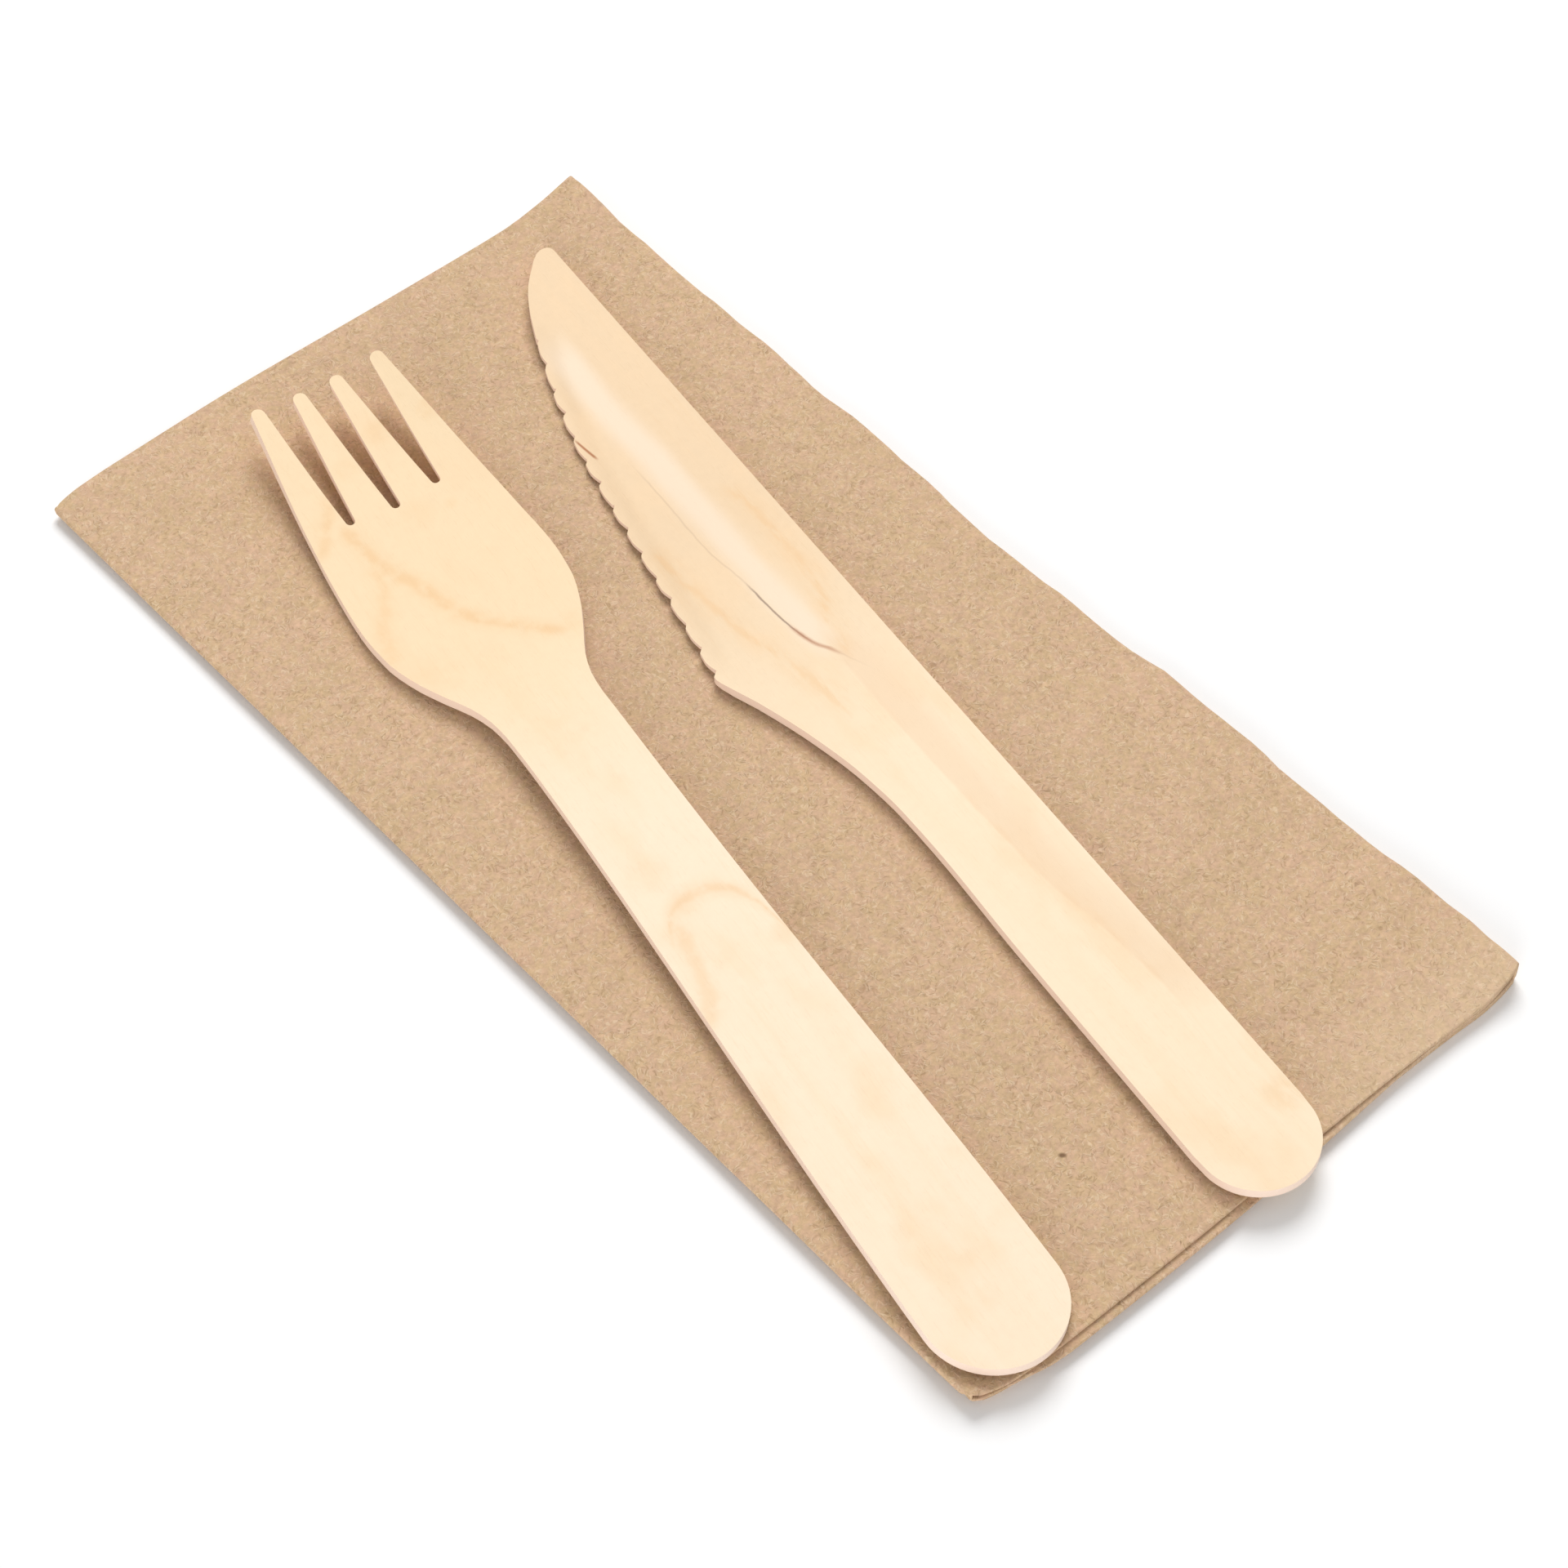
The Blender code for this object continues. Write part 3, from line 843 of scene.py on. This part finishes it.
def kraft():
    finish = Finish("kraft_paper", Roughness=0.92, Specular_IOR_Level=0.18)
    cloud = finish.noise(finish.place, 7.0, 3.0, 0.6)
    mottle = finish.noise(finish.place, 1.3, 3.0, 0.7)
    speckle = finish.noise(finish.place, 0.48, 3.0, 0.7)
    hue = finish.noise(finish.shifted(finish.place, (19.0, 41.0, 0.0)), 1.1, 2.0)
    pinkness = hue.between(0.36, 0.64) * 0.7 + cloud.between(0.36, 0.64) * 0.3
    colour = finish.blend(pinkness, KRAFT_YELLOW, KRAFT_PINK)
    shade = (mottle - 0.5) * 0.42 + (speckle - 0.5) * 0.62 + (cloud - 0.5) * 0.10 + 1.0
    colour = finish.shaded(colour, shade)
    sway = finish.scaled(finish.noise(finish.place, 1.1, 1.0, output="Color"), (1.3, 1.3, 0.0))
    swayed = finish.shifted(finish.place, sway)
    crowd = finish.noise(finish.shifted(finish.place, (31.0, 5.0, 0.0)), 3.0, 1.0).between(0.38, 0.62)
    dark = all_ways(finish, swayed, 1.15, 0.30, 0.17) * (crowd * 0.6 + 0.4)
    pale = all_ways(finish, finish.shifted(swayed, (40.0, 28.0, 0.0)), 1.30, 0.26, 0.20)
    bark = all_ways(finish, finish.shifted(swayed, (90.0, 63.0, 0.0)), 0.85, 0.34, 0.008)
    colour = finish.blend(dark * 0.42, colour, KRAFT_DEEP)
    colour = finish.blend(pale * 0.40, colour, KRAFT_PALE)
    colour = finish.blend(bark * 0.80, colour, KRAFT_FLECK)
    across, along = finish.parts(finish.place)[:2]
    rubbed = along.between(-70.0, -84.0) * across.between(-10.0, 30.0)
    colour = finish.blend(rubbed * 0.22, colour, KRAFT_PALE)
    # One large shive lies aslant: a round spot that is sheared by the slant.
    shive = blot(across + along * 0.4, along, (-66.0, -40.0), 0.55)
    colour = finish.blend(shive * 0.8, colour, KRAFT_FLECK)
    finish.link(colour, "Base Color")
    tooth = speckle * 0.6 + mottle * 0.3 + (pale - dark) * 0.25
    finish.link(finish.relief(tooth, KRAFT_TOOTH), "Normal")
    return finish.material


napkin.data.materials.append(kraft())
print("kraft nodes", len(napkin.data.materials[0].node_tree.nodes))

# %% [markdown]
# ## Birch veneer
#
# Rotary-cut birch is almost white, with a fine straight grain along the blank and hardly
# any contrast. What gives each piece its face is the faint tan figure where the knife of
# the lathe ran through a growth ring: soft arcs and clouds across one piece, long streaks
# along the other. The cut walls are a shade pinker than the faces and hardly show the
# figure, because they cut across the grain.
#
# The grain is noise stretched along the blank, at three widths. The figure is drawn with
# bands whose centre lines are given as curves and whose edges are worried by noise.

# %% The wood's shared finish
BIRCH_WARM = linear(246, 214, 174)
BIRCH_TAN = linear(236, 190, 134)
BIRCH_WALL = linear(249, 224, 208)
GRAIN_DEPTH = 0.02


def birch(name, end, turn, seed, pale, far_shade, shade_from):
    """A finish with plain wood on it, painted darker towards the far end as shade where less light falls.

    Returns the finish, a place of its own for its noise, the colour so far and the grain's height.
    """
    finish = Finish(name, end, turn, Roughness=0.62, Specular_IOR_Level=0.22)
    here = finish.shifted(finish.place, (seed, seed * 1.7, 0.0))
    drift = finish.noise(finish.scaled(here, (1.0, 0.25, 1.0)), 9.0, 1.0, output="Color")
    streaked = finish.shifted(here, finish.scaled(drift, (2.2, 0, 0)))
    broad = finish.noise(finish.scaled(streaked, (1.0, 0.05, 1.0)), 3.2, 2.0)
    fine = finish.noise(finish.scaled(streaked, (1.0, 0.04, 1.0)), 0.5, 2.0, 0.6)
    pores = finish.noise(finish.scaled(streaked, (1.0, 0.10, 1.0)), 0.20, 1.0).between(0.60, 0.72)
    cloud = finish.noise(finish.scaled(here, (1.0, 0.6, 1.0)), 7.0, 2.0)
    along = finish.parts(finish.place)[1]
    # Painted shade: the wood goes from pale to a darker tone towards the far end, as light that falls off.
    colour = finish.blend(along.between(*shade_from), pale, far_shade)
    warmth = broad.between(0.46, 0.74) * 0.16 + cloud.between(0.5, 0.72) * 0.34
    colour = finish.blend(warmth, colour, BIRCH_WARM)
    colour = finish.blend(fine.between(0.5, 0.8) * 0.07 + pores * 0.05, colour, BIRCH_TAN)
    dapple = finish.noise(here, 1.3, 3.0, 0.7)
    colour = finish.shaded(colour, (dapple - 0.5) * 0.07 + 1.0)
    return finish, here, colour, fine * 0.7 + pores * -0.4 + 0.3


def worried(finish, value, here, size, amount):
    """A value whose contours wander by an amount, in blotches of a size."""
    return value + (finish.noise(here, size, 2.0) - 0.5) * (2 * amount)


def band(distance, half_width, soft):
    """1 within half_width of a line, fading over soft millimetres."""
    return distance.size().between(half_width + soft, half_width)


def stretch(place, start, end, fade):
    """1 from start to end, fading over that many millimetres outside them."""
    return place.between(start - fade, start) * place.between(end + fade, end)


def finished(finish, colour, grain):
    """Links the colour and the relief, with the cut walls in their own tone."""
    upright = finish.parts(finish.facing)[2].size()
    wall = upright.between(0.75, 0.35)
    finish.link(finish.blend(wall * 0.85, colour, BIRCH_WALL), "Base Color")
    finish.link(finish.relief(grain, GRAIN_DEPTH), "Normal")
    return finish.material


# %% [markdown]
# ## The fork's figure
#
# The head carries one tan line, which runs from the left slot down across the dish to the
# right shoulder and forks once. Across the middle of the handle a tighter line hooks
# round like a walking stick. Fainter blots lie at the tine roots and at the handle's end.
#
# A line like that is simplest as a distance: how far a point is from a centre line that
# is itself a curve through a few stations. Noise worries the distance a little, and a
# narrow band of it is the dark line, with a wider and weaker band as its bleed.

# %% The fork's finish
HEAD_LINE = [(108.5, 7.6), (113, 2.9), (117.7, -1.2), (123.9, -3.3), (129.6, -5.7), (136.5, -6.9)]
HEAD_BRANCH = [(116, -11.8), (120, -10.6), (126.3, -7.4), (131, -6.6)]
SLOT_STREAK = [(135, -10.9), (138, -8.8), (141.5, -6.9)]
HOOK_TOP = [(-4.6, 64.6), (-2.3, 67.2), (0.4, 68.1), (2.9, 67.6), (5.1, 65.3), (6.6, 60.5)]
HOOK_TAIL = [(51.5, -7.0), (56.7, -5.1), (61.4, -3.9), (66.0, -3.6)]
FORK_BLOTS = [(144.5, -2.7, 2.6, 0.5), (147.2, 3.4, 2.6, 0.6), (146.6, 10.0, 2.2, 0.7),
              (134.2, 1.4, 3.2, 0.35), (133.4, 5.7, 1.2, 0.5), (111.1, -9.0, 5.0, 0.35),
              (109.0, 9.0, 3.0, 0.5), (95.7, -0.3, 6.0, 0.3), (73.0, -2.5, 4.0, 0.45),
              (58.5, 6.4, 2.4, 0.5), (65.0, -3.3, 2.0, 0.6), (19.6, -3.6, 1.9, 0.3),
              (13.6, 0.6, 1.6, 0.4), (8.7, -0.2, 1.9, 0.35), (24.9, 6.9, 2.2, 0.3)]


def fork_birch():
    # The second tone is the wood with painted shade, for the far end of the fork.
    pale, far_shade = linear(251, 231, 203), linear(246, 220, 182)
    finish, here, colour, grain = birch("birch_fork", FORK_END, FORK_TURN, 12.0, pale, far_shade, (75, 118))
    across, along = finish.parts(finish.place)[:2]
    lines = []
    for route, start, end, weight in ((HEAD_LINE, 110, 136, 0.9), (HEAD_BRANCH, 117, 130, 0.6),
                                      (SLOT_STREAK, 135.5, 141, 0.7), (HOOK_TAIL, 53, 65, 0.6)):
        aside = worried(finish, across - finish.route(along, route), here, 4.5, 0.9)
        faded = (band(aside, 0.15, 1.2) * 0.6 + band(aside, 0.4, 2.6) * 0.4) * weight
        lines.append(faded * stretch(along, start, end, 2.5))
    hook = worried(finish, along - finish.route(across, HOOK_TOP), here, 4.0, 0.8)
    hooked = band(hook, 0.1, 1.0) * 0.45 + band(hook, 0.5, 2.4) * 0.35
    lines.append(hooked * stretch(across, -4.0, 6.0, 2.0))
    for *centre, radius, weight in FORK_BLOTS:
        lines.append(blot(across, along, centre, radius) * weight * 0.6)
    figure = lines[0]
    for line in lines[1:]:
        figure = figure.most(line)
    broken = finish.noise(here, 1.8, 2.0).between(0.30, 0.62) * 0.6 + 0.4
    colour = finish.blend(figure * broken * 0.55, colour, BIRCH_TAN)
    return finished(finish, colour, grain)


fork.data.materials.append(fork_birch())

# %% [markdown]
# ## The knife's figure
#
# The knife's figure runs with the grain. Along the pressed hollow lies a pale band, a painted
# highlight, and along its cutting side runs a split: a bare hairline towards the tip that
# opens and darkens towards the handle. A tan line edges the hollow on the other side,
# another runs in from the teeth to the choil, and the handle is paler down its middle with
# a crisp darker strip beside its back. One tooth has torn and shows red-brown wood.

# %% The knife's finish
SPLIT_LINE = [(84.5, -6.0), (87.5, -7.4), (90.5, -8.8), (96, -9.7), (102, -10.1), (108.9, -11.1),
              (118, -11.1), (130, -11.6)]
HOLLOW_HIGHLIGHT = [(86, -6.4), (92, -7.8), (104.6, -8.2), (123, -8.6), (137, -9.0), (150, -7.6)]
BACK_LINE = [(85.2, -6.3), (91.0, -5.0), (98.0, -3.3), (106.3, -2.9), (116, -3.6)]
CHOIL_LINE = [(78, -11.0), (85.3, -11.9), (92.0, -13.7), (100.0, -15.5), (104.6, -16.0), (114, -16.8)]
STRIP_LINE = [(20, -3.2), (38.3, -4.7), (45.1, -6.0), (52.3, -6.6), (66.7, -7.1), (86, -7.2)]


def knife_birch():
    # The second tone is the wood with painted shade, for the far end of the knife.
    pale, far_shade = linear(250, 229, 198), linear(238, 210, 174)
    finish, here, colour, grain = birch("birch_knife", KNIFE_END, KNIFE_TURN, 47.0, pale, far_shade, (60, 118))
    across, along = finish.parts(finish.place)[:2]
    drawn = finish.scaled(here, (1.0, 0.3, 1.0))
    # Painted highlight: a pale band laid along the pressed hollow.
    hollow = worried(finish, across - finish.route(along, HOLLOW_HIGHLIGHT), drawn, 3.0, 0.6)
    painted_highlight = band(hollow, 0.5, 2.5) * stretch(along, 92, 143, 8.0) * 0.68
    colour = finish.blend(painted_highlight, colour, linear(248, 229, 206))
    strip = worried(finish, across - finish.route(along, STRIP_LINE), drawn, 2.5, 0.3)
    shaded = strip.between(-0.25, 0.2) * strip.between(6.5, 2.0) * stretch(along, 30, 84, 8.0)
    colour = finish.blend(shaded * 0.5, colour, linear(240, 210, 176))
    tan = []
    for route, start, end, weight in ((BACK_LINE, 87, 114, 0.8), (CHOIL_LINE, 80, 111, 0.8),
                                      (STRIP_LINE, 26, 60, 0.35)):
        aside = worried(finish, across - finish.route(along, route), drawn, 1.6, 0.7)
        faded = (band(aside, 0.1, 0.8) * 0.5 + band(aside, 0.5, 2.4) * 0.35) * weight
        tan.append(faded * stretch(along, start, end, 3.0))
    tan.append(blot(across, along, (9.5, -1.4), 3.6) * 0.5)
    figure = tan[0].most(tan[1]).most(tan[2]).most(tan[3])
    broken = finish.noise(drawn, 1.2, 3.0, 0.65).between(0.36, 0.62) * 0.7 + 0.3
    colour = finish.blend(figure * broken * 0.6, colour, BIRCH_TAN)
    crooked = worried(finish, across - finish.route(along, SPLIT_LINE), here, 1.6, 0.12)
    hairline = band(crooked, 0.01, 0.2) * stretch(along, 88, 120, 7.0) * 0.17
    opened = band(crooked, 0.04, 0.15) * stretch(along, 91.5, 99, 4.0) * 0.7
    split = hairline.most(opened)
    colour = finish.blend(split, colour, linear(132, 104, 90))
    stain = band(crooked, 0.05, 0.45) * stretch(along, 88, 91.5, 2.5)
    colour = finish.blend(stain * 0.6, colour, linear(192, 132, 96))
    torn = band(across + 14.44 + (along - 130.5) * 0.116, 0.03, 0.22) * stretch(along, 129.2, 132.0, 1.2)
    colour = finish.blend(torn * 0.9, colour, linear(176, 112, 72))
    return finished(finish, colour, grain - split * 2.0)


knife.data.materials.append(knife_birch())
print("birch nodes", [len(piece.data.materials[0].node_tree.nodes) for piece in (fork, knife)])

# %% [markdown]
# ## Hand the pieces over to the model
#
# Each finished piece stands for the plain solid of the same thing, which is hidden, and
# rides on the one body that the pack has.

for piece, node, slot in ((fork, "fork", "birch_fork"), (knife, "knife", "birch_knife"),
                          (napkin, "napkin", "kraft_paper")):
    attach(piece, "root")
    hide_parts(node)

# %% [markdown]
# ## Floor, light and camera
#
# The pack is shown on plain white. A wide soft lamp stands high behind it, so the
# shadows are short and fall towards the viewer, and an even pale sky fills them. A
# weaker lamp low on the left keeps the cut walls of the wood bright. The camera looks
# down on the pack from its near left corner, far enough away that the napkin's long
# sides stay nearly parallel.

# %% The floor
scene = bpy.context.scene
scene.view_settings.view_transform = "Standard"

FLOOR_REACH = 3.0
floor_mesh = bpy.data.meshes.new("floor")
floor_corners = [(-1, -1, 0), (1, -1, 0), (1, 1, 0), (-1, 1, 0)]
floor_mesh.from_pydata([Vector(corner) * FLOOR_REACH for corner in floor_corners], [], [(0, 1, 2, 3)])
floor = bpy.data.objects.new("floor", floor_mesh)
floor.location.z = napkin_low.z - 0.02 * MM
scene.collection.objects.link(floor)
plain_white = Finish("plain_white", Roughness=0.9, Specular_IOR_Level=0.0)
plain_white.shader.inputs["Base Color"].default_value = (0.98, 0.98, 0.98, 1.0)
floor_mesh.materials.append(plain_white.material)
floor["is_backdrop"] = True


# %% The light
def aimed(thing, place, target):
    """Puts a lamp or the camera at a place, looking at a target."""
    thing.location = place
    thing.rotation_euler = (Vector(target) - Vector(place)).to_track_quat("-Z", "Y").to_euler()
    scene.collection.objects.link(thing)
    return thing


def soft_lamp(name, power, size, place):
    """A round lamp that is size metres across, aimed at the pack."""
    lamp = bpy.data.lights.new(name, "AREA")
    lamp.shape = "DISK"
    lamp.size = size
    lamp.energy = power
    aimed(bpy.data.objects.new(name, lamp), place, (0, 0, 0))


sky = bpy.data.worlds.new("even_sky")
sky.use_nodes = True
sky.node_tree.nodes["Background"].inputs["Color"].default_value = (1.0, 1.0, 1.0, 1.0)
sky.node_tree.nodes["Background"].inputs["Strength"].default_value = 0.45
scene.world = sky
soft_lamp("window", 16.8, 0.95, (0.70, 0.72, 1.10))
soft_lamp("reflector", 7.5, 0.9, (-1.05, -0.62, 0.36))

# %% The camera
AZIMUTH = radians(-41.21)
ELEVATION = radians(52.33)
DISTANCE = 0.4315
LOOKED_AT = Vector((-2.10, -7.95, 0.0)) * MM

camera_data = bpy.data.cameras.new("camera")
camera_data.lens = 86.16
camera_data.sensor_width = 36.0
camera_data.clip_start = 0.01
back_of_camera = Vector((sin(AZIMUTH) * cos(ELEVATION), -cos(AZIMUTH) * cos(ELEVATION), sin(ELEVATION)))
camera = bpy.data.objects.new("camera", camera_data)
scene.camera = aimed(camera, LOOKED_AT + back_of_camera * DISTANCE, LOOKED_AT)

# %% [markdown]
# ## Measure the result
#
# The box of the finished pieces and the box of the plain ones are printed side by side.

# %% Write the sizes and finish
bpy.context.view_layer.update()
sizes = {"cad": [list(corner) for corner in cad_box], "visual": [list(corner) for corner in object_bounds()]}
for label, (low, high) in sizes.items():
    print(label, [round((b - a) / MM, 1) for a, b in zip(low, high)], "mm")
